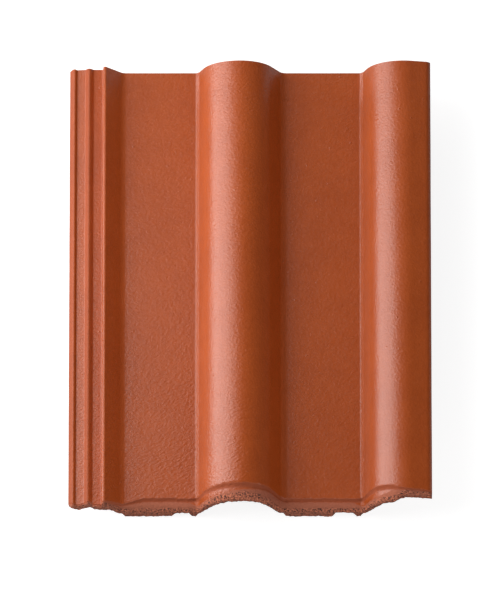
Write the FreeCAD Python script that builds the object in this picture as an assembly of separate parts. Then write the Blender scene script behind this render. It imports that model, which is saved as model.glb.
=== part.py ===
import FreeCAD, Part
import math
import os

# A double-roll interlocking roof pantile, pressed in one piece from concrete, in millimetres.
# X runs across the tile from the underlock ribs (-X) to the cover roll (+X), Y runs up the roof from
# the nose (-Y) to the head (+Y), and Z is up from the floor that the nibs and foot bars stand on.
# In the cross section, u is measured from the underlock edge and h from the top of the pans.

tile_length = 420.0
tile_width = 330.0
side_lap = 30.0
pan_thickness = 12.0

# the two rolls have one shape
roll_height = 36.0
roll_radius = 32.0
roll_flank_angle = 62.0
roll_crest_thickness = 12.0
roll_hollow_radius = 27.5
roll_foot_radius = 3.2
pan_edge_radius = 7.0

# cover roll beyond its crest, which laps the underlock of the next tile
cover_overhang = 24.0
cover_fall_angle = 12.0
cover_edge_radius = 5.5
lip_width = 6.0
lip_draft_angle = 20.0
lip_gap = 3.0

# underlock ribs and grooves, with heights above the pans
lock_edge_height = 3.5
lock_underside_drop = 1.8
lock_slope_thickness = 10.0
outer_rib_u = 4.3
outer_rib_height = 13.9
outer_rib_fall = 2.2
outer_groove_height = 8.4
outer_groove_rise = 1.0
middle_rib_u = 17.6
middle_rib_height = 14.2
middle_rib_rise = 3.4
middle_rib_fall = 4.2
inner_groove_height = 9.5
inner_rib_gap = 0.8
inner_rib_lean = 0.6
inner_rib_height = 18.4
inner_rib_top_width = 2.4
inner_rib_slope_angle = 50.0
outer_rib_radius = 1.8
rib_radius = 1.0
groove_radius = 0.8

# nose: a small step down from the coated top, then a bullnose
nose_step_run = 2.2
nose_step_drop = 2.0
nose_round_run = 9.8
nose_round_drop = 7.0
nose_stations = 6
nose_lock_share = 0.3
nose_lock_fade = 18.0
nose_cover_share = 0.6
nose_cover_fade = 20.0
cover_trim_length = 5.0
cover_trim_slant = 9.0
lock_corner_radius = 6.0

# nibs that hang on the batten, and foot bars that stand on the tile below
stand_height = 10.0
stud_root = 1.0
nib_width = 40.0
nib_length = 15.0
nib_head_inset = 9.0
nib_draft = 3.0
bar_width = 48.0
bar_inset = 3.0
bar_length = 11.0
bar_pitch = 26.0
bar_rows = 2
bar_draft = 2.5
end_bar_width = 9.0
end_bar_inset = 2.0


def slope(angle):
    return math.tan(math.radians(angle))


def flank_corner(crest_u, crest_h, radius, right_angle):
    """The corner where a roll's two flanks would meet above the crest arc that joins them."""
    half = math.radians(roll_flank_angle + right_angle) / 2
    lean = math.radians(right_angle - roll_flank_angle) / 2
    reach = radius / math.cos(half)
    return crest_u + reach * math.sin(lean), crest_h - radius + reach * math.cos(lean)


def flank_foot(corner, level, side):
    """Where the roll flank on the left (-1) or right (1) of a corner comes down to a level."""
    return corner[0] + side * (corner[1] - level) / slope(roll_flank_angle)


# lengthways places
head_y = tile_length / 2
nose_y = -tile_length / 2
crease_y = nose_y + nose_step_run + nose_round_run

# crosswise places on the weather side
pan_top = stand_height + pan_thickness
cover_crest_u = tile_width - cover_overhang
first_crest_u = cover_crest_u - (tile_width - side_lap) / 2
first_roll = flank_corner(first_crest_u, roll_height, roll_radius, roll_flank_angle)
cover_roll = flank_corner(cover_crest_u, roll_height, roll_radius, cover_fall_angle)
cover_edge_h = cover_roll[1] - (tile_width - cover_roll[0]) * slope(cover_fall_angle)
inner_rib_u = side_lap + inner_rib_gap
inner_slope_u = inner_rib_u + inner_rib_top_width
pan_start_u = inner_slope_u + inner_rib_height / slope(inner_rib_slope_angle)
lock_fade_u = pan_start_u + nose_lock_fade

# crosswise places on the underside
hollow_height = roll_height - roll_crest_thickness
first_hollow = flank_corner(first_crest_u, hollow_height, roll_hollow_radius, roll_flank_angle)
cover_hollow = flank_corner(cover_crest_u, hollow_height, roll_hollow_radius, cover_fall_angle)
lock_slope_across = lock_slope_thickness / math.sin(math.radians(inner_rib_slope_angle))
pan_1_left = pan_start_u + pan_thickness / slope(inner_rib_slope_angle) - lock_slope_across
pan_1_right = flank_foot(first_hollow, -pan_thickness, -1)
pan_2_left = flank_foot(first_hollow, -pan_thickness, 1)
pan_2_right = flank_foot(cover_hollow, -pan_thickness, -1)
lock_slope_u = pan_1_left - (pan_thickness - lock_underside_drop) / slope(inner_rib_slope_angle)
lip_h = inner_groove_height + lip_gap
lip_u = tile_width - lip_width


def lip_root():
    """Where the inner side of the cover lip meets the ceiling of the cover roll."""
    draft = slope(lip_draft_angle)
    fall = slope(cover_fall_angle)
    level = cover_hollow[1] - (lip_u + lip_h * draft - cover_hollow[0]) * fall
    root_h = level / (1 - draft * fall)
    return lip_u - (root_h - lip_h) * draft, root_h


def weather_side():
    """Corners of the top from the underlock edge to the cover edge, each as (u, h, radius)."""
    return [
        (0, lock_edge_height, 0),
        (outer_rib_u, outer_rib_height, outer_rib_radius),
        (outer_rib_u + outer_rib_fall, outer_groove_height, groove_radius),
        (middle_rib_u - middle_rib_rise, outer_groove_height + outer_groove_rise, groove_radius),
        (middle_rib_u, middle_rib_height, rib_radius),
        (middle_rib_u + middle_rib_fall, inner_groove_height, groove_radius),
        (inner_rib_u - inner_rib_lean, inner_groove_height, groove_radius),
        (inner_rib_u, inner_rib_height, rib_radius),
        (inner_slope_u, inner_rib_height, rib_radius),
        (pan_start_u, 0, pan_edge_radius),
        (lock_fade_u, 0, 0),
        (flank_foot(first_roll, 0, -1), 0, roll_foot_radius),
        (first_roll[0], first_roll[1], roll_radius),
        (flank_foot(first_roll, 0, 1), 0, pan_edge_radius),
        (flank_foot(cover_roll, 0, -1), 0, roll_foot_radius),
        (cover_roll[0], cover_roll[1], roll_radius),
        (tile_width, cover_edge_h, cover_edge_radius),
    ]


def underside():
    """Corners of the underside from the cover lip back to the underlock edge."""
    root = lip_root()
    return [
        (tile_width, lip_h, 0),
        (lip_u, lip_h, 0),
        (root[0], root[1], groove_radius),
        (cover_hollow[0], cover_hollow[1], roll_hollow_radius),
        (pan_2_right, -pan_thickness, 0),
        (pan_2_left, -pan_thickness, 0),
        (first_hollow[0], first_hollow[1], roll_hollow_radius),
        (pan_1_right, -pan_thickness, 0),
        (pan_1_left, -pan_thickness, 0),
        (lock_slope_u, -lock_underside_drop, 0),
        (0, -lock_underside_drop, 0),
    ]


def nose_share(u):
    """How much of the nose drop a place across the tile takes: less on the two side locks."""
    if u <= inner_slope_u:
        return nose_lock_share
    if u < lock_fade_u:
        return nose_lock_share + (1 - nose_lock_share) * (u - inner_slope_u) / (lock_fade_u - inner_slope_u)
    past_fade = min(max(u - cover_crest_u + nose_cover_fade, 0), nose_cover_fade)
    return 1 - (1 - nose_cover_share) * past_fade / nose_cover_fade


def place(u, h, y):
    return FreeCAD.Vector(u - tile_width / 2, y, h + pan_top)


def rounded_wire(corners, y):
    """Closed wire through corners at one place along the tile, with an arc at each rounded corner."""
    ends = []
    for index, (u, h, radius) in enumerate(corners):
        point = place(u, h, y)
        before = place(*corners[index - 1][:2], y) - point
        after = place(*corners[(index + 1) % len(corners)][:2], y) - point
        before.normalize()
        after.normalize()
        half = before.getAngle(after) / 2
        if radius == 0:
            ends.append((point, None, point))
            continue
        back = radius / math.tan(half)
        middle = before + after
        middle.normalize()
        top = point + middle * (radius / math.sin(half) - radius)
        ends.append((point + before * back, top, point + after * back))
    edges = []
    for index, (start, top, end) in enumerate(ends):
        if top is not None:
            edges.append(Part.Arc(start, top, end).toShape())
        edges.append(Part.makeLine(end, ends[(index + 1) % len(ends)][0]))
    return Part.Wire(edges)


def section(y, drop):
    """The cross section at one place along the tile, its top lowered by the nose drop there."""
    lowered = [(u, h - drop * nose_share(u), radius) for u, h, radius in weather_side()]
    return rounded_wire(lowered + underside(), y)


def barrel():
    """The full section, straight from the crease to the head."""
    face = Part.Face(section(crease_y, 0))
    return face.extrude(FreeCAD.Vector(0, head_y - crease_y, 0))


def nose_step():
    """The small step where the coated top ends."""
    lower = section(crease_y - nose_step_run, nose_step_drop)
    return Part.makeLoft([section(crease_y, 0), lower], True, True)


def bullnose():
    """The rounded end that shows on the roof, a quarter of an ellipse from the step to the nose."""
    stations = []
    for index in range(nose_stations):
        turn = math.pi / 2 * index / (nose_stations - 1)
        run = nose_step_run + nose_round_run * math.sin(turn)
        drop = nose_step_drop + nose_round_drop * (1 - math.cos(turn))
        stations.append(section(crease_y - run, drop))
    return Part.makeLoft(stations, True, False)


def upright(outline):
    """A prism through the whole height of the tile over a plan outline of (u, y) corners."""
    below = -pan_top - stud_root
    points = [place(u, below, y) for u, y in outline]
    face = Part.Face(Part.makePolygon(points + points[:1]))
    return face.extrude(FreeCAD.Vector(0, 0, pan_top + roll_height + 2 * stud_root))


def cover_trim():
    """The nose of the cover lock, cut short so that it clears the tile below and beside it."""
    start_u = cover_crest_u - cover_trim_slant
    clear_u = tile_width + stud_root
    clear_y = nose_y - stud_root
    trim_y = nose_y + cover_trim_length
    return upright([(start_u, clear_y), (start_u, nose_y), (cover_crest_u, trim_y),
                    (clear_u, trim_y), (clear_u, clear_y)])


def lock_corner():
    """What the rounded nose corner of the underlock leaves out."""
    radius = lock_corner_radius
    square = upright([(-stud_root, nose_y - stud_root), (radius, nose_y - stud_root),
                      (radius, nose_y + radius), (-stud_root, nose_y + radius)])
    centre = place(radius, -pan_top - stud_root, nose_y + radius)
    return square.cut(Part.makeCylinder(radius, pan_top + roll_height + 2 * stud_root, centre))


def stud(left_u, width, front_y, length, draft):
    """A block below a pan with an upright front and drafted sides and back."""
    def level(h, inset):
        right_u = left_u + width - inset
        back_y = front_y + length - inset
        corners = [(left_u + inset, front_y), (right_u, front_y), (right_u, back_y), (left_u + inset, back_y)]
        return [place(u, h, y) for u, y in corners]
    root = level(-pan_thickness + stud_root, -draft * stud_root / stand_height)
    sole = level(-pan_top, draft)
    outlines = [root, sole]
    for index in range(len(sole)):
        outlines.append([root[index - 1], root[index], sole[index], sole[index - 1]])
    faces = [Part.Face(Part.makePolygon(points + points[:1])) for points in outlines]
    return Part.Solid(Part.Shell(faces))


def nibs():
    """One hanging nib under the head of each pan; its upright front bears on the batten."""
    front_y = head_y - nib_head_inset - nib_length
    middles = [(pan_1_left + pan_1_right) / 2, (pan_2_left + pan_2_right) / 2]
    return [stud(middle - nib_width / 2, nib_width, front_y, nib_length, nib_draft) for middle in middles]


def foot_bars():
    """Rows of weather bars under the nose of each pan, the first flush with the nose and with a
    short bar beside the foot of the roll."""
    bars = []
    for left, right in ((pan_1_left, pan_1_right), (pan_2_left, pan_2_right)):
        for row in range(bar_rows):
            bars.append(stud(left + bar_inset, bar_width, nose_y + row * bar_pitch, bar_length, bar_draft))
        end_u = right - end_bar_inset - end_bar_width
        bars.append(stud(end_u, end_bar_width, nose_y, bar_length, bar_draft))
    return bars


tile = barrel().fuse([nose_step(), bullnose()] + nibs() + foot_bars())
tile = tile.cut(cover_trim()).cut(lock_corner()).removeSplitter()
os.makedirs("parts", exist_ok=True)
tile.Solids[0].exportStep("parts/pantile.step")
print("solids", len(tile.Solids), "valid", tile.isValid(), "volume", round(tile.Volume), tile.BoundBox)
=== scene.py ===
import math

import bpy
import numpy as np
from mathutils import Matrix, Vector, noise


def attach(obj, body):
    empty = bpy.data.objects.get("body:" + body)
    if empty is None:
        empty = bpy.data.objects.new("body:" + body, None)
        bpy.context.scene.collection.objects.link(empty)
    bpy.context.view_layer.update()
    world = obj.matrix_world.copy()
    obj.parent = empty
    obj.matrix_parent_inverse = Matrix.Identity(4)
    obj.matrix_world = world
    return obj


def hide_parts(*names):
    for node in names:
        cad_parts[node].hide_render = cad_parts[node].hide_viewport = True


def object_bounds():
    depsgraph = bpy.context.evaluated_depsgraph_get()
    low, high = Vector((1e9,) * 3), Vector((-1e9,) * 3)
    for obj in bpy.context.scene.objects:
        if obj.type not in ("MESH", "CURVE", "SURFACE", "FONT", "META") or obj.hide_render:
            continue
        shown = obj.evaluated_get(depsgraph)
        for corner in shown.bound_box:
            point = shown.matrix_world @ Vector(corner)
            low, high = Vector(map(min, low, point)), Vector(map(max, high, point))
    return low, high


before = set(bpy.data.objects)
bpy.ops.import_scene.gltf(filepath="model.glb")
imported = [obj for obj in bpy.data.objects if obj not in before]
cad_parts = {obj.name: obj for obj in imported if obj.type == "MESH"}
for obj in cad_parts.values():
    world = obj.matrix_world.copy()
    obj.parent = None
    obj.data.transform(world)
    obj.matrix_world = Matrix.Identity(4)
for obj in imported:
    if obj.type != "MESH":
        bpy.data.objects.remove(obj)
cad_low, cad_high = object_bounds()

# Cross section of the tile. A roller and a slipper press wet concrete into this one shape: the ribs of
# the underlock on the left, two flat pans, and two rolls of which the right one laps the next tile.
# u runs across the tile from the underlock edge and h is above the pans, both in metres.
tile_width = cad_high.x - cad_low.x
side_lap = 0.030
pan_thickness = 0.012
pan_edge_round = 0.007
roll_height = 0.036
roll_radius = 0.032
roll_flank = math.radians(62)
left_flank = math.radians(70)
roll_thickness = 0.012
roll_hollow_radius = 0.0275
foot_on_pan = 0.0018
foot_on_flank = 0.0030
cover_half_width = 0.024
cover_fall = math.radians(12)
cover_edge_round = 0.0055
pan_top = cad_high.z - roll_height
stand_height = pan_top - pan_thickness
hollow_height = roll_height - roll_thickness
cover_crest_u = tile_width - cover_half_width
first_crest_u = cover_crest_u - (tile_width - side_lap) / 2


def flank_corner(crest_u, crest_h, radius, right_fall):
    """Where the two flanks of a roll or of its hollow would meet, and the radius that rounds them."""
    half = (roll_flank + right_fall) / 2
    lean = (right_fall - roll_flank) / 2
    reach = radius / math.cos(half)
    return crest_u + reach * math.sin(lean), crest_h - radius + reach * math.cos(lean), radius


def flank_foot(corner, level, side):
    """Where a flank comes down to this level, on the left (-1) or the right (1)."""
    return corner[0] + side * (corner[1] - level) / math.tan(roll_flank)


def roll_left(corner, crest_u):
    """The left of a roll: a narrow slanted face at its foot, a steep flank and a round shoulder."""
    foot = flank_foot(corner, 0, -1)
    face_low = (foot - foot_on_pan, 0, 0)
    face_high = (foot + foot_on_flank * math.cos(left_flank), foot_on_flank * math.sin(left_flank), 0)
    shoulder_u = foot + roll_height / math.tan(left_flank)
    shoulder_round = (crest_u - shoulder_u) / math.tan(left_flank / 2)
    return face_low, face_high, (shoulder_u, roll_height, shoulder_round)


def roll_right(crest_u, fall):
    """The right shoulder of a roll, from its crest to a flank that falls at this angle."""
    return crest_u + roll_radius * math.tan(fall / 2), roll_height, roll_radius


first_roll = flank_corner(first_crest_u, roll_height, roll_radius, roll_flank)
cover_roll = flank_corner(cover_crest_u, roll_height, roll_radius, cover_fall)
first_hollow = flank_corner(first_crest_u, hollow_height, roll_hollow_radius, roll_flank)
cover_hollow = flank_corner(cover_crest_u, hollow_height, roll_hollow_radius, cover_fall)
cover_edge_h = cover_roll[1] - (tile_width - cover_roll[0]) * math.tan(cover_fall)

# underlock: three ribs with two grooves between them, and the slope down to the first pan
outer_edge_h = 0.0035
outer_rib = (0.0043, 0.0139)
outer_rib_round = 0.0018
outer_groove_left = (0.0065, 0.0084)
outer_groove_right = (0.0142, 0.0094)
middle_rib = (0.0176, 0.0142)
middle_rib_round = 0.0019
inner_groove_u = 0.0218
inner_groove_h = 0.0095
inner_rib_draft = 0.0006
inner_rib_width = 0.0024
inner_rib_height = 0.0184
inner_slope = math.radians(50)
slope_thickness = 0.010
lap_clearance = 0.0008
rib_round = 0.001
groove_round = 0.0008
lock_underside = -0.0018
inner_rib_u = side_lap + lap_clearance
inner_slope_u = inner_rib_u + inner_rib_width
pan_start_u = inner_slope_u + inner_rib_height / math.tan(inner_slope)
pan_1_left = pan_start_u + pan_thickness / math.tan(inner_slope) - slope_thickness / math.sin(inner_slope)
pan_1_right = flank_foot(first_hollow, -pan_thickness, -1)
pan_2_left = flank_foot(first_hollow, -pan_thickness, 1)
pan_2_right = flank_foot(cover_hollow, -pan_thickness, -1)
lock_slope_u = pan_1_left - (pan_thickness + lock_underside) / math.tan(inner_slope)

# lip that hangs from the cover roll into the inner groove of the next tile
lip_width = 0.006
lip_h = 0.0125
lip_lean = math.tan(math.radians(20))
lip_u = tile_width - lip_width
lip_root_h = cover_hollow[1] - (lip_u + lip_h * lip_lean - cover_hollow[0]) * math.tan(cover_fall)
lip_root_h /= 1 - lip_lean * math.tan(cover_fall)
lip_root_u = lip_u - (lip_root_h - lip_h) * lip_lean

# corners of the two sides of the section, each as u, h and the radius that rounds it
weather_corners = [
    (0, outer_edge_h, 0),
    (*outer_rib, outer_rib_round),
    (*outer_groove_left, groove_round),
    (*outer_groove_right, groove_round),
    (*middle_rib, middle_rib_round),
    (inner_groove_u, inner_groove_h, groove_round),
    (inner_rib_u - inner_rib_draft, inner_groove_h, groove_round),
    (inner_rib_u, inner_rib_height, rib_round),
    (inner_slope_u, inner_rib_height, rib_round),
    (pan_start_u, 0, pan_edge_round),
    *roll_left(first_roll, first_crest_u),
    roll_right(first_crest_u, roll_flank),
    (flank_foot(first_roll, 0, 1), 0, pan_edge_round),
    *roll_left(cover_roll, cover_crest_u),
    roll_right(cover_crest_u, cover_fall),
    (tile_width, cover_edge_h, cover_edge_round),
    (tile_width, lip_h, 0),
]
under_corners = [
    (0, lock_underside, 0),
    (lock_slope_u, lock_underside, 0),
    (pan_1_left, -pan_thickness, 0),
    (pan_1_right, -pan_thickness, 0),
    first_hollow,
    (pan_2_left, -pan_thickness, 0),
    (pan_2_right, -pan_thickness, 0),
    cover_hollow,
    (lip_root_u, lip_root_h, groove_round),
    (lip_u, lip_h, 0),
    (tile_width, lip_h, 0),
]


def rounded_run(corners, spacing, least_arc_steps=5):
    """Points along straight faces joined by round corners."""
    points = [np.array(corners[0][:2], float)]

    def straight_to(end):
        start = points[-1]
        count = max(1, math.ceil(np.linalg.norm(end - start) / spacing))
        points.extend(start + (end - start) * step / count for step in range(1, count + 1))

    for before, corner, after in zip(corners, corners[1:], corners[2:]):
        point = np.array(corner[:2], float)
        radius = corner[2]
        if radius == 0:
            straight_to(point)
            continue
        back = np.array(before[:2]) - point
        back /= np.linalg.norm(back)
        on = np.array(after[:2]) - point
        on /= np.linalg.norm(on)
        half = math.acos(np.clip(back @ on, -1, 1)) / 2
        straight_to(point + back * radius / math.tan(half))
        middle = (back + on) / np.linalg.norm(back + on)
        centre = point + middle * radius / math.sin(half)
        sideways = np.array((-middle[1], middle[0]))
        sideways *= np.sign(sideways @ on)
        sweep = math.pi / 2 - half
        count = max(least_arc_steps, math.ceil(2 * sweep * radius / spacing))
        for step in range(1, count + 1):
            turn = sweep * (2 * step / count - 1)
            points.append(centre - middle * radius * math.cos(turn) + sideways * radius * math.sin(turn))
    straight_to(np.array(corners[-1][:2], float))
    return np.array(points)


hair = 1e-6
weather_run = rounded_run(weather_corners, spacing=0.0015)
weather_run = weather_run[weather_run[:, 0] < tile_width - hair]
weather_run = np.append(weather_run, [[tile_width, weather_run[-1, 1]]], 0)
under_run = rounded_run(under_corners, spacing=0.0005)

# Nibs and foot bars. They are pressed with the underside: two nibs under the head hang on the roof
# batten, and two rows of bars under the nose stand on the tile below. Each has an upright front and
# drafted sides so that it leaves the mould.
nib_width = 0.040
nib_length = 0.015
nib_draft = 0.003
nib_set_back = 0.024
bar_width = 0.048
bar_length = 0.011
bar_draft = 0.0025
bar_inset = 0.003
bar_row_spacing = 0.026
end_bar_width = 0.009
end_bar_inset = 0.002
nib_front_y = cad_high.y - nib_set_back
bar_fronts = (cad_low.y, cad_low.y + bar_row_spacing)

# each nib or bar as its left edge, width, front, length and draft
studs = []
for left, right in ((pan_1_left, pan_1_right), (pan_2_left, pan_2_right)):
    studs.append(((left + right - nib_width) / 2, nib_width, nib_front_y, nib_length, nib_draft))
    for front in bar_fronts:
        studs.append((left + bar_inset, bar_width, front, bar_length, bar_draft))
    end_bar_left = right - end_bar_inset - end_bar_width
    studs.append((end_bar_left, end_bar_width, bar_fronts[0], bar_length, bar_draft))


def stud_depth(u, y):
    """How far the nibs and bars reach below the underside at these places."""
    depth = np.zeros(np.broadcast(u, y).shape)
    for left, width, front, length, draft in studs:
        inside = np.minimum(np.minimum(u - left, left + width - u), front + length - y) / draft
        inside = np.where(y < front - hair, 0, inside)
        depth = np.maximum(depth, stand_height * np.clip(inside, 0, 1))
    return depth


# columns across the tile, one at each change of the section, the nibs and the bars
stud_edges = []
for left, width, _, _, draft in studs:
    stud_edges += [left + edge for edge in (0, draft, width - draft, width)]
under_edges = [corner[0] for corner in under_corners if corner[2] == 0]
columns = np.unique(np.round(np.concatenate([weather_run[:, 0], under_edges, stud_edges]), 6))
weather_h = np.interp(columns, *weather_run.T)
under_h = np.interp(columns, *under_run.T)

# Nose. A knife parts the tile from the next one while it is wet, so the coated top ends in a ragged
# crease, a small step and a rounded end, smooth at first and then torn. On the two side locks the
# rounding is shorter, and the cover lock is cut back.
crease_run = 0.012
step_run = 0.0022
step_drop = 0.002
round_drop = 0.007
roll_crease_set = 0.0042
roll_crease_bend = 0.6
crease_wander = 0.0007
least_nose_run = 0.0025
lock_round = 0.006
cover_cut = 0.005
cover_cut_slant = 0.009
rib_chip = 0.0022
lip_cut = 0.014
edge_wander = 0.0004
most_edge_wander = 0.001
full_nose_left_u = 0.068
full_nose_right_u = 0.286


def across(*stops):
    """A value for each column across the tile, from pairs of a place u and the value there."""
    places_u, stop_values = zip(*stops)
    return np.interp(columns, places_u, stop_values)


def wander(waves, start, roughness=0.6, octaves=3):
    """An uneven line across the tile, about -1 to 1, with so many waves a metre."""
    return np.array([noise.fractal(Vector((u * waves, start, 0)), roughness, 2, octaves) for u in columns])


# where the nose ends, from the front of the tile: uneven, rounded at the underlock, cut at the cover
nose_end = np.clip(edge_wander * (1 + wander(waves=210, start=8.1)), 0, most_edge_wander)
inside_round = np.clip(lock_round - columns, 0, lock_round)
nose_end += lock_round - np.sqrt(lock_round ** 2 - inside_round ** 2)
nose_end += cover_cut * np.clip((columns - cover_crest_u) / cover_cut_slant + 1, 0, 1)
nose_end += across((0.0095, 0), (0.0165, rib_chip), (0.0195, rib_chip), (0.0245, 0))

# where the coated top ends, which is further back on the rolls
crease_set = across((0.030, 0.0035), (0.050, 0.0065), (full_nose_left_u, crease_run),
                    (full_nose_right_u, crease_run), (cover_crest_u, 0.0110), (tile_width, 0.0095))
roll_share = np.clip(weather_h / roll_height, 0, 1) ** roll_crease_bend
roll_share *= across((0.100, 0), (0.116, 1), (full_nose_right_u, 1), (cover_crest_u, 0))
crease_set += roll_crease_set * roll_share
crease_set = np.maximum(crease_set, nose_end + least_nose_run)
wander_room = np.clip((crease_set - nose_end) / crease_run, 0, 1)
crease_set += crease_wander * wander(waves=160, start=3.7) * wander_room
nose_share = across((inner_slope_u, 0.3), (full_nose_left_u, 1),
                    (full_nose_right_u, 1), (cover_crest_u, 0.6))

# rows along the top: closer together towards the nose, then down the step and round the end
near_share = 0.72
head_rows = np.linspace(0, near_share, num=30, endpoint=False)
near_rows = np.linspace(near_share, 1, num=58)
length_share = np.concatenate([head_rows, near_rows])
step_rows = np.linspace(0, step_run, num=5)[1:]
turns = np.linspace(0, math.pi / 2, num=17)[1:]
nose_runs = np.concatenate([step_rows, step_run + (crease_run - step_run) * np.sin(turns)])
round_drops = step_drop + round_drop * (1 - np.cos(turns))
nose_drops = np.concatenate([step_drop * step_rows / step_run, round_drops])
crease_y = cad_low.y + crease_set
coated_y = cad_high.y + length_share[:, None] * (crease_y - cad_high.y)
nose_y = crease_y - nose_runs[:, None] * (crease_set - nose_end) / crease_run
top_y = np.concatenate([coated_y, nose_y])
top_drop = np.concatenate([np.zeros(len(length_share)), nose_drops])
top_h = weather_h - top_drop[:, None] * nose_share

# rows along the underside: they stop at the edges of the nibs and bars, so that these are crisp
row_count = len(top_y)
upright_front = 0.0001
row_stops = [cad_high.y, cad_low.y]
for _, _, front, length, draft in studs:
    row_stops += [front - upright_front, front, front + length - draft, front + length]
row_stops = np.unique(np.clip(row_stops, cad_low.y, cad_high.y))
spare_rows = np.linspace(cad_high.y, cad_low.y, row_count - len(row_stops) + 2)[1:-1]
under_y = np.sort(np.concatenate([row_stops, spare_rows]))[::-1]
under_y = np.maximum(under_y[:, None], cad_low.y + nose_end)
ceiling_h = cover_hollow[1] - (columns - cover_hollow[0]) * math.tan(cover_fall)
lip_cut_h = np.where(columns > lip_root_u, ceiling_h, under_h)
under_face_h = np.where(under_y < cad_low.y + lip_cut, lip_cut_h, under_h)
under_face_h -= stud_depth(columns, under_y)

# Moulded block. Top and underside are two sheets of points in rows and columns, with layers of points
# between them at the four edges, so that the tile is one closed piece with nothing inside it.
layers = 11
depth_share = np.linspace(0, 1, layers)
sheet_x = np.repeat(columns[None], row_count, 0) - tile_width / 2
top = np.stack([sheet_x, top_y, top_h + pan_top], -1)
under = np.stack([sheet_x, under_y, under_face_h + pan_top], -1)
block = top[:, :, None] * (1 - depth_share)[:, None] + under[:, :, None] * depth_share[:, None]
shown = np.zeros(block.shape[:3], bool)
shown[[0, -1]] = True
shown[:, [0, -1]] = True
shown[:, :, [0, -1]] = True
index = np.full(shown.shape, -1)
index[shown] = np.arange(shown.sum())


def quads(sheet):
    """Faces over a sheet of point numbers."""
    corners = (sheet[:-1, :-1], sheet[1:, :-1], sheet[1:, 1:], sheet[:-1, 1:])
    return np.stack([corner.ravel() for corner in corners], 1)


faces = np.concatenate([
    quads(index[:, :, 0]), quads(index[:, :, -1])[:, ::-1],
    quads(index[:, 0, :])[:, ::-1], quads(index[:, -1, :]),
    quads(index[0]), quads(index[-1])[:, ::-1],
])
places = block[shown]
row_at, column_at, layer_at = np.nonzero(shown)
tile_mesh = bpy.data.meshes.new("pantile_tile")
tile_mesh.from_pydata(places.tolist(), [], faces.tolist())
tile_mesh.update()
normals = np.zeros(len(places) * 3)
tile_mesh.vertex_normals.foreach_get("vector", normals)

# Surface of the concrete. It is torn and chipped at the nose, less so at the head and underneath, and the
# slipper leaves ripples on the weather side that grow towards the nose. Each point notes for the finish
# how bare, torn or rippled it is, and where shade is painted into the coating.
tear_run = 0.30
bare_steepness = 5
head_torn = 0.6
under_torn = 0.25
rib_face_shade = 0.9
first_roll_ripple = 0.45
crease_row = len(length_share) - 1
step_row = crease_row + len(step_rows)
on_top = layer_at == 0
on_under = layer_at == layers - 1
on_head = row_at == 0
on_nose = row_at == row_count - 1
in_step = (row_at > crease_row) & (row_at <= step_row + 1)
past_step = np.clip((row_at - step_row) / len(turns), 0, 1)

# shares of the rounded end at which the tear begins and the coating stops
torn_start = across((0.012, 0.30), (0.020, 0.10), (0.034, 0.05), (0.060, 0.34), (0.120, 0.34),
                    (0.140, 0.16), (0.172, 0.16), (0.190, 0.34),
                    (cover_crest_u - 0.012, 0.34), (cover_crest_u, 0.0))
bare_start = across((0.110, 0), (0.119, 0.30), (0.130, 0.30), (0.148, 0.12), (0.172, 0),
                    (0.259, 0), (0.268, 0.30), (0.282, 0.30), (0.294, 0))
torn = np.where(on_top, np.clip((past_step - torn_start[column_at]) / tear_run, 0, 1), 0.0)
torn = np.where(on_nose & ~on_top, 1.0, torn)
torn = np.where(on_head & ~on_top, head_torn, torn)
torn = np.where(on_under & ~on_nose, under_torn, torn)
bare = np.where(on_top, np.clip((past_step - bare_start[column_at]) * bare_steepness, 0, 1), 0.0)
bare = np.where((on_nose | on_head | on_under) & ~on_top, 1.0, bare)

# ripples, stronger on the left half and strongest on the first roll near the nose
nose_distance = places[:, 1] - cad_low.y
ripple = on_top * np.interp(nose_distance, [0.040, 0.150], [1.0, 0.60])
ripple *= across((0.165, 1.0), (0.185, 0.42), (0.262, 0.42), (0.274, 0.35))[column_at]
on_first_roll = across((0.112, 0), (0.122, 1), (0.150, 1), (0.165, 0))[column_at]
ripple *= 1 + first_roll_ripple * on_first_roll * np.interp(nose_distance, [0.040, 0.120], [1, 0])

# painted shade: the coating is darkened and dulled in the step below the crease and on the left faces of
# the two outer ribs
shade_in_step = in_step * across((0.040, 0.3), (0.060, 1.0))[column_at]
shade_on_rib_faces = across((0.0034, rib_face_shade), (0.0046, 0), (0.0140, 0),
                      (0.0148, rib_face_shade), (0.0178, rib_face_shade), (0.0186, 0))[column_at]
painted_shade = on_top * np.maximum(shade_in_step, shade_on_rib_faces)

# relief of the surface in metres, and how many waves a metre it has
unevenness = 0.0001
uneven_waves = 30
tear_depth = 0.001
tear_waves = 300
lump_depth = 0.001
lump_waves = 120
chip_depth = 0.0028
chip_waves = 95
relief = np.zeros(len(places))
for point in range(len(places)):
    place = Vector(places[point])
    relief[point] = unevenness * (noise.noise(place * uneven_waves) - 1)
    if torn[point] > 0:
        depth = 0.5 + 0.5 * noise.fractal(place * tear_waves, 0.5, 2, 3)
        lump = 0.5 + 0.5 * noise.noise(place * lump_waves)
        relief[point] -= torn[point] * (tear_depth * depth + lump_depth * lump * on_nose[point])
places = places + normals.reshape(-1, 3) * relief[:, None]
chips = np.maximum(wander(chip_waves, start=1.3, roughness=0.5, octaves=4), 0)[column_at]
places[:, 2] += on_nose * depth_share[layer_at] * chip_depth * chips
places = np.clip(places, np.array(cad_low), np.array(cad_high))
tile_mesh.vertices.foreach_set("co", places.ravel())
for name, values in (("bare", bare), ("torn", torn), ("ripple", ripple), ("painted_shade", painted_shade)):
    tile_mesh.attributes.new(name, "FLOAT", "POINT").data.foreach_set("value", values.astype(float))
tile_mesh.shade_smooth()
tile_mesh.set_sharp_from_angle(angle=math.radians(40))
tile_mesh.update()
tile = bpy.data.objects.new("pantile_tile", tile_mesh)
bpy.context.scene.collection.objects.link(tile)
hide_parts("pantile")
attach(tile, "root")
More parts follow.
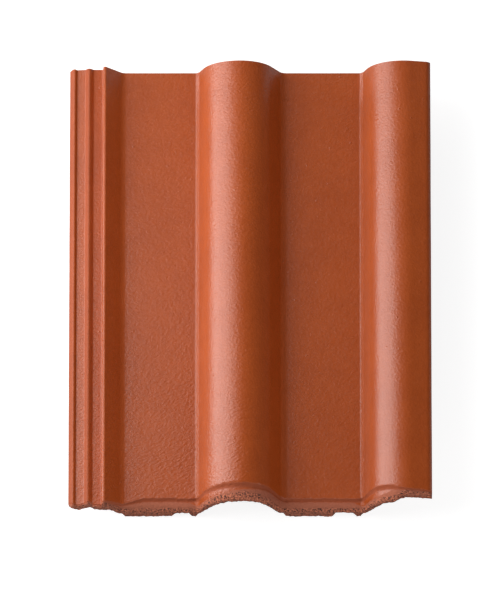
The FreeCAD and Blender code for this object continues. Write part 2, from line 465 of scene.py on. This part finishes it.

# Finish of the tile. The concrete is coloured through, a pinkish brown with sand and pits where it is
# torn, with painted shade in the pits. The weather side is sprayed with a satin terracotta coating, a
# little mottled, which shows the grain, wrinkles and pimples of the pressed concrete under it.
coating_deep = (0.342, 0.0560, 0.0050, 1)
coating_pale = (0.382, 0.0657, 0.0068, 1)
coating_fleck = (0.44, 0.100, 0.022, 1)
coating_shade_colour = (0.190, 0.027, 0.003, 1)
concrete_deep = (0.285, 0.071, 0.032, 1)
concrete_pale = (0.440, 0.122, 0.058, 1)
sand_colour = (0.640, 0.190, 0.095, 1)
pit_shade_colour = (0.040, 0.007, 0.003, 1)
fleck_strength = 0.16
shade_strength = 0.42
sand_strength = 0.9
pit_shade_strength = 0.9
satin_roughness = 0.26
patch_roughness = 0.08
fleck_roughness = 0.12
bare_roughness = 0.85
shade_dullness = 0.9
coating_shine = 0.62
peel_height = 0.12
fine_height = 0.29
wrinkle_height = 0.40
pimple_height = 0.22
grit_height = 0.9
concrete = bpy.data.materials.new("coated_concrete")
concrete.use_nodes = True
tree = concrete.node_tree
shader = tree.nodes["Principled BSDF"]


def node(kind, inputs=None, **settings):
    """A node of the present tree, with its inputs linked or set."""
    made = tree.nodes.new(kind)
    for name, value in settings.items():
        setattr(made, name, value)
    for name, value in (inputs or {}).items():
        if isinstance(value, bpy.types.NodeSocket):
            tree.links.new(value, made.inputs[name])
        else:
            made.inputs[name].default_value = value
    return made


def calc(operation, first, second):
    return node("ShaderNodeMath", {0: first, 1: second}, operation=operation).outputs[0]


def times(first, second):
    return calc("MULTIPLY", first, second)


def plus(first, second):
    return calc("ADD", first, second)


def opposite(share):
    return calc("SUBTRACT", 1, share)


def mix_colour(share, first, second):
    return node("ShaderNodeMix", {0: share, 6: first, 7: second}, data_type="RGBA").outputs[2]


def grain(scale, detail=2.0, place=None):
    """Soft noise from 0 to 1, with about so many grains a metre."""
    inputs = {"Vector": place or where, "Scale": scale, "Detail": detail}
    return node("ShaderNodeTexNoise", inputs).outputs["Fac"]


def soft_step(value, start, end):
    inputs = {"Value": value, "From Min": start, "From Max": end}
    return node("ShaderNodeMapRange", inputs, interpolation_type="SMOOTHSTEP").outputs["Result"]


def broken_edge(share, grains, amount, start, end):
    """The edge of a covered area, broken up by grain."""
    uneven = times(calc("SUBTRACT", grain(grains, 3), 0.5), amount)
    return soft_step(plus(share, uneven), start, end)


def stretched(angle, length):
    """Places turned and drawn out, for a grain that lies along one direction."""
    inputs = {"Vector": where, "Rotation": (0, 0, math.radians(angle)), "Scale": (length, 1, 1)}
    return node("ShaderNodeMapping", inputs, vector_type="TEXTURE").outputs["Vector"]


def noted(name):
    """What was noted of the surface point by point."""
    return node("ShaderNodeAttribute", attribute_name=name).outputs["Fac"]


where = node("ShaderNodeTexCoord").outputs["Object"]
torn_edge = broken_edge(noted("torn"), grains=260, amount=1.3, start=0.35, end=0.65)
bare_edge = broken_edge(noted("bare"), grains=330, amount=0.8, start=0.3, end=0.7)
coating_shade = times(noted("painted_shade"), opposite(bare_edge))

# colour: mottled and flecked coating with painted shade in the crease step and on two rib faces, and
# concrete with sand grains and pits painted dark as shade
patches = plus(times(grain(24), 0.6), times(grain(170), 0.4))
flecks = grain(620)
coating = mix_colour(soft_step(patches, 0.32, 0.68), coating_deep, coating_pale)
coating = mix_colour(times(soft_step(flecks, 0.45, 0.75), fleck_strength), coating, coating_fleck)
# painted shade: the coating is darkened in the crease step and on the left rib faces
coating = mix_colour(times(coating_shade, shade_strength), coating, coating_shade_colour)
pit_grain = grain(600, 3)
sand = times(soft_step(grain(640, 3), 0.47, 0.62), torn_edge)
# pits in the torn concrete, painted nearly black as shade
shaded_pits = times(opposite(soft_step(pit_grain, 0.41, 0.47)), torn_edge)
body = mix_colour(grain(520, 4), concrete_deep, concrete_pale)
body = mix_colour(times(sand, sand_strength), body, sand_colour)
body = mix_colour(times(shaded_pits, pit_shade_strength), body, pit_shade_colour)
tree.links.new(mix_colour(bare_edge, coating, body), shader.inputs["Base Color"])

# gloss: satin coating, dull where shade is painted and where the coating is missing
uneven_satin = plus(times(grain(90, 3), patch_roughness), times(flecks, fleck_roughness))
satin = plus(satin_roughness, uneven_satin)
dull = calc("MAXIMUM", bare_edge, times(coating_shade, shade_dullness))
rough = node("ShaderNodeMix", {"Factor": dull, "A": satin, "B": bare_roughness}).outputs["Result"]
tree.links.new(rough, shader.inputs["Roughness"])
shader.inputs["Specular IOR Level"].default_value = coating_shine

# relief, with heights in millimetres: orange peel, fine grain, slanted wrinkles, pimples and torn grit
peel = times(grain(260), peel_height)
fine = times(grain(480, 3), fine_height)
wrinkles = times(grain(560, place=stretched(angle=24, length=2.2)), plus(0.5, grain(45)))
wrinkles = times(times(wrinkles, noted("ripple")), wrinkle_height)
cells = node("ShaderNodeTexVoronoi", {"Vector": where, "Scale": 95.0}).outputs
cell_number = node("ShaderNodeSeparateColor", {"Color": cells["Color"]}).outputs[0]
pimples = times(opposite(soft_step(cells["Distance"], 0.03, 0.13)), soft_step(cell_number, 0.62, 0.70))
pimples = times(pimples, pimple_height)
coated = plus(plus(peel, fine), plus(wrinkles, pimples))
grit = times(times(plus(grain(700, 4), pit_grain), torn_edge), grit_height)
height = plus(times(coated, opposite(torn_edge)), grit)
bump = node("ShaderNodeBump", {"Strength": 1.0, "Distance": 0.001, "Height": height})
tree.links.new(bump.outputs["Normal"], shader.inputs["Normal"])
tile_mesh.materials.append(concrete)

# Floor. A plain white board under the tile, wide enough for any view. It glows only where the camera
# sees it, straight or mirrored, and less beside the tile, so it looks white and still shows the shadow.
# Beside the tile its mirrored glow is dimmed much further, as painted shade from the tile.
floor_reach = 30.0
floor_grey = (0.42, 0.42, 0.42, 1)
beside_tile = 0.3
far_from_tile = 1.6
glow_beside_tile = 0.82
# painted shade: the mirrored glow of the floor is this low beside the tile
mirrored_glow_in_tile_shade = 0.1
floor_corners = [(-floor_reach, -floor_reach, 0), (floor_reach, -floor_reach, 0),
                 (floor_reach, floor_reach, 0), (-floor_reach, floor_reach, 0)]
floor_mesh = bpy.data.meshes.new("floor")
floor_mesh.from_pydata(floor_corners, [], [(0, 1, 2, 3)])
floor = bpy.data.objects.new("floor", floor_mesh)
bpy.context.scene.collection.objects.link(floor)
board = bpy.data.materials.new("white_board")
board.use_nodes = True
tree = board.node_tree
board_shader = tree.nodes["Principled BSDF"]
board_shader.inputs["Base Color"].default_value = floor_grey
board_shader.inputs["Roughness"].default_value = 1.0
board_shader.inputs["Specular IOR Level"].default_value = 0.0
board_shader.inputs["Emission Color"].default_value = (1, 1, 1, 1)


def ways_of_seeing():
    """Whether the camera sees a surface straight, and whether it sees it mirrored or through glass."""
    rays = node("ShaderNodeLightPath").outputs
    return rays["Is Camera Ray"], calc("MAXIMUM", rays["Is Glossy Ray"], rays["Is Transmission Ray"])


def full_far_off(strength_beside_tile):
    """A strength that grows from its value beside the tile to 1 further off."""
    inputs = {"Value": far_off, "From Min": beside_tile, "From Max": far_from_tile,
              "To Min": strength_beside_tile, "To Max": 1.0}
    return node("ShaderNodeMapRange", inputs).outputs["Result"]


straight, mirrored = ways_of_seeing()
floor_place = node("ShaderNodeTexCoord").outputs["Object"]
far_off = node("ShaderNodeVectorMath", {0: floor_place}, operation="LENGTH").outputs["Value"]
glow = calc("MAXIMUM", times(straight, full_far_off(glow_beside_tile)),
            times(mirrored, full_far_off(mirrored_glow_in_tile_shade)))
tree.links.new(glow, board_shader.inputs["Emission Strength"])
floor_mesh.materials.append(board)

# Light. Two soft panels stand on the left, a little towards the head and near enough to fade across the
# tile, with a small one above them, a wide one at the head and another off the nose to the right. The
# room is white to the camera and dim otherwise.
room_light = 0.075
mirrored_room = 0.07
world = bpy.data.worlds.new("room")
bpy.context.scene.world = world
world.use_nodes = True
tree = world.node_tree
straight, mirrored = ways_of_seeing()
room_strength = calc("MAXIMUM", straight, calc("MAXIMUM", times(mirrored, mirrored_room), room_light))
room = tree.nodes["Background"]
room.inputs["Color"].default_value = (1, 1, 1, 1)
tree.links.new(room_strength, room.inputs["Strength"])
lit_point = Vector((0, 0, 0.03))


def lamp(name, azimuth, elevation, away, size, power):
    """A panel that faces the tile from a distance."""
    data = bpy.data.lights.new(name, "AREA")
    data.shape = "RECTANGLE"
    data.size, data.size_y = size
    data.energy = power
    panel = bpy.data.objects.new(name, data)
    side = math.radians(azimuth)
    rise = math.radians(elevation)
    outward = Vector((math.cos(rise) * math.cos(side), math.cos(rise) * math.sin(side), math.sin(rise)))
    panel.location = lit_point + outward * away
    panel.rotation_euler = (-outward).to_track_quat("-Z", "Y").to_euler()
    bpy.context.scene.collection.objects.link(panel)


lamp("left_low_panel", azimuth=172, elevation=10, away=1.1, size=(1.0, 0.30), power=6.6)
lamp("left_high_panel", azimuth=171, elevation=38, away=1.1, size=(1.1, 0.80), power=12.5)
lamp("upper_panel", azimuth=168, elevation=68, away=0.6, size=(0.45, 0.20), power=0.64)
lamp("nose_panel", azimuth=298, elevation=24, away=1.1, size=(1.8, 0.45), power=5.6)
lamp("head_panel", azimuth=100, elevation=32, away=1.1, size=(1.8, 0.45), power=4.8)

# Camera. A long lens looks down on the tile from the nose side, so that both ends look nearly as wide.
# The tile stands a little above the middle of the picture, as in the photograph.
view_elevation = math.radians(72)
view_distance = 12.0
pixels_per_metre = 1096
picture_long_side = 610
below_centre = 0.0130
camera_data = bpy.data.cameras.new("camera")
camera = bpy.data.objects.new("camera", camera_data)
bpy.context.scene.collection.objects.link(camera)
bpy.context.scene.camera = camera
back = Vector((0, -math.cos(view_elevation), math.sin(view_elevation)))
up = Vector((0, math.sin(view_elevation), math.cos(view_elevation)))
camera.location = Vector((0, 0, pan_top)) - up * below_centre + back * view_distance
camera.rotation_euler = (-back).to_track_quat("-Z", "Y").to_euler()
camera_data.sensor_width = 36
camera_data.lens = camera_data.sensor_width * pixels_per_metre * view_distance / picture_long_side
camera_data.clip_end = 40

bpy.context.scene.view_settings.view_transform = "Standard"
